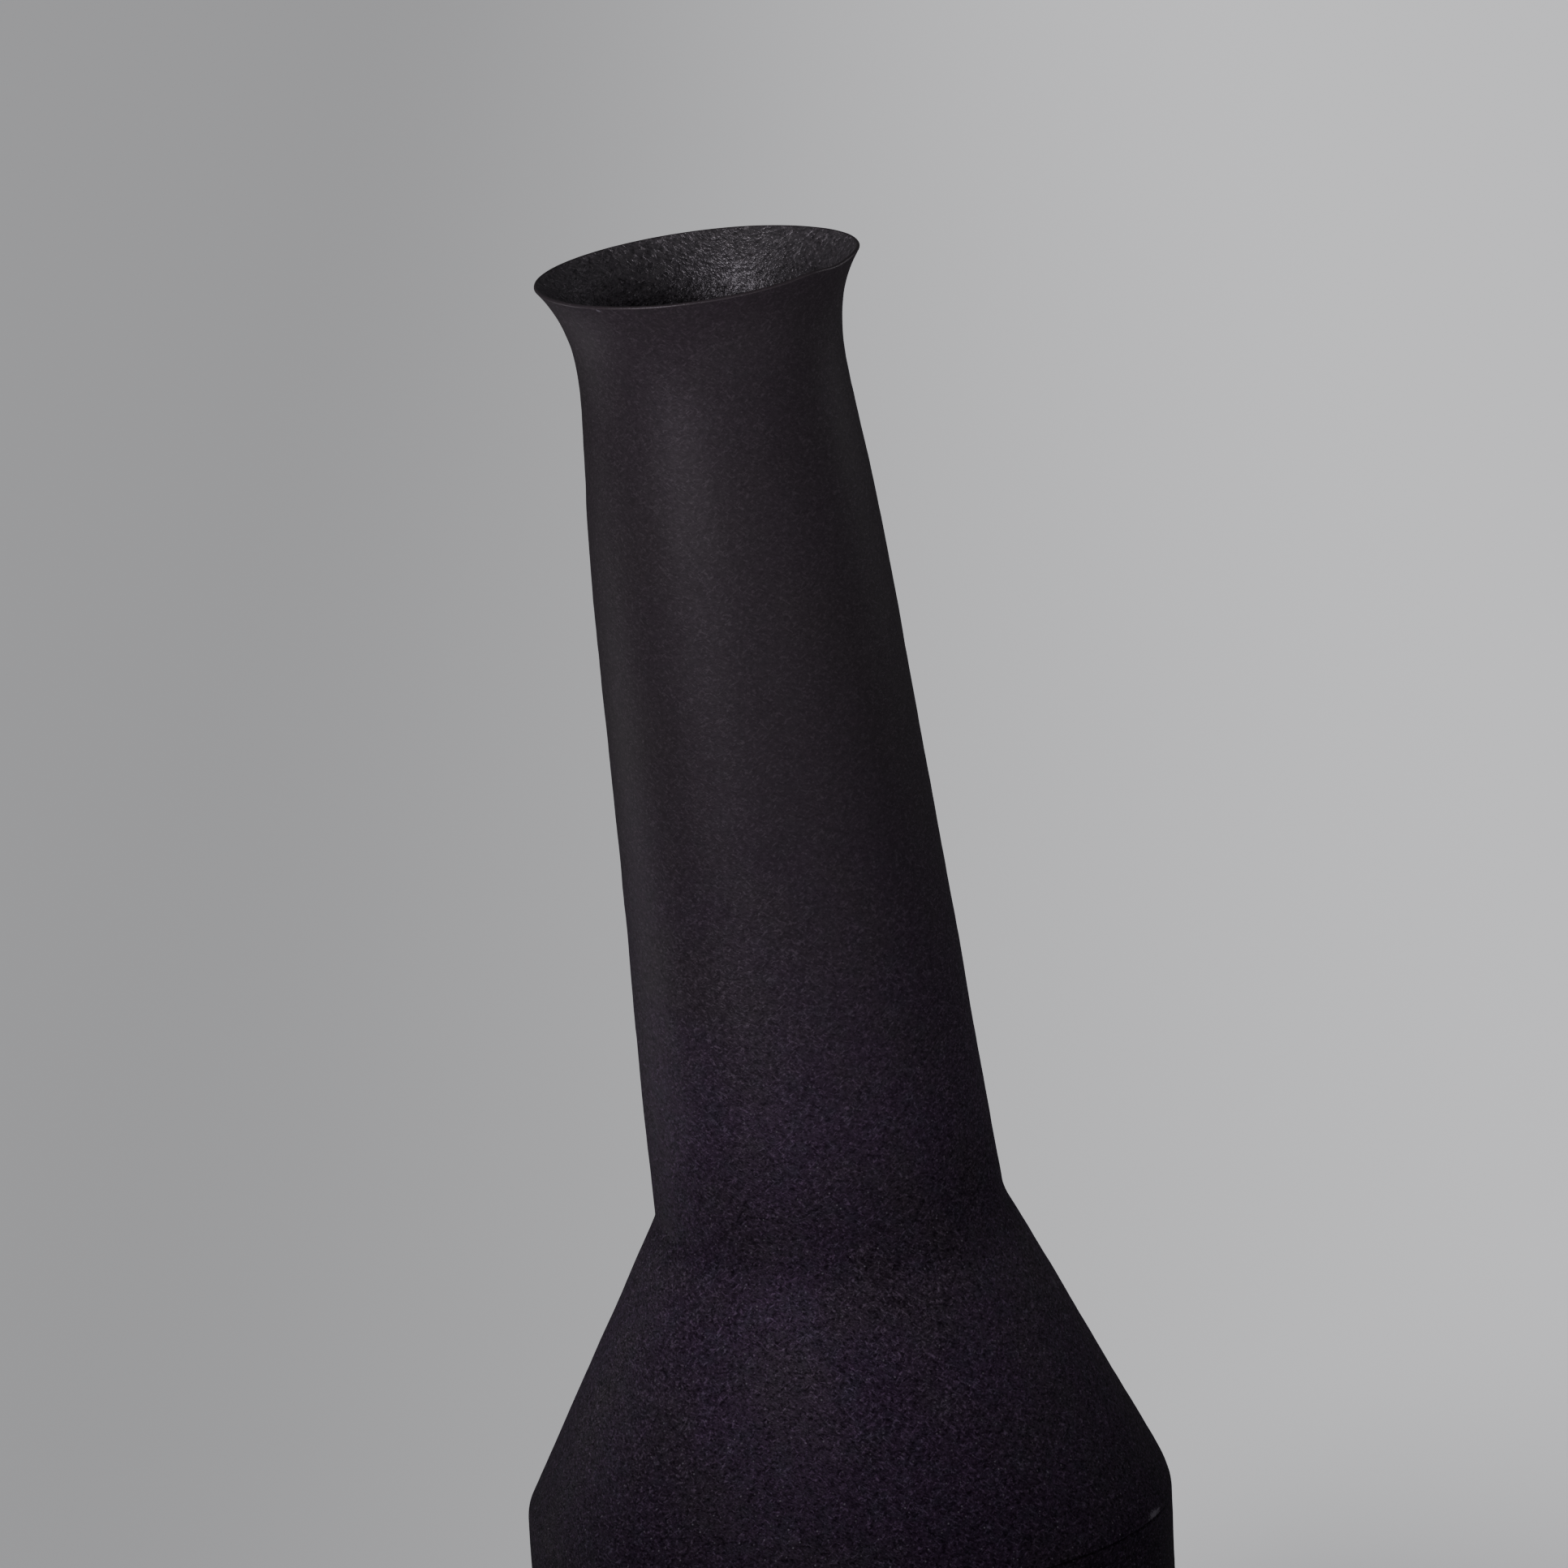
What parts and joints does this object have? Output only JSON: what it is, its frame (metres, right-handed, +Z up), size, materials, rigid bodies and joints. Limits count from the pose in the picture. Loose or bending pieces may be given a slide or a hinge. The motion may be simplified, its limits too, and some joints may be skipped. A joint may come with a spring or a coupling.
{
  "type": "clay bottle vase",
  "caption": "Matte black clay bottle vase with an upright body, a conical shoulder and a tall leaning neck that ends in a thin flared lip.",
  "frame": {"origin": "middle of the face that the vase rests on, on the axis of the body", "axes": "+Z up along the body's axis; -X is the side that the neck leans towards; -Y is the front"},
  "size_m": [0.14, 0.14, 0.3821],
  "materials": {
    "black_clay": "unglazed, unburnished, smoke-fired black clay, matte with fine coarse grain"
  },
  "bodies": {
    "root": {"base_slab": "black_clay", "body_wall": "black_clay", "shoulder_cone": "black_clay", "neck_tube": "black_clay", "flared_lip": "black_clay", "floor_coil": "black_clay", "shoulder_coil": "black_clay", "neck_coil": "black_clay"}
  },
  "joints": []
}
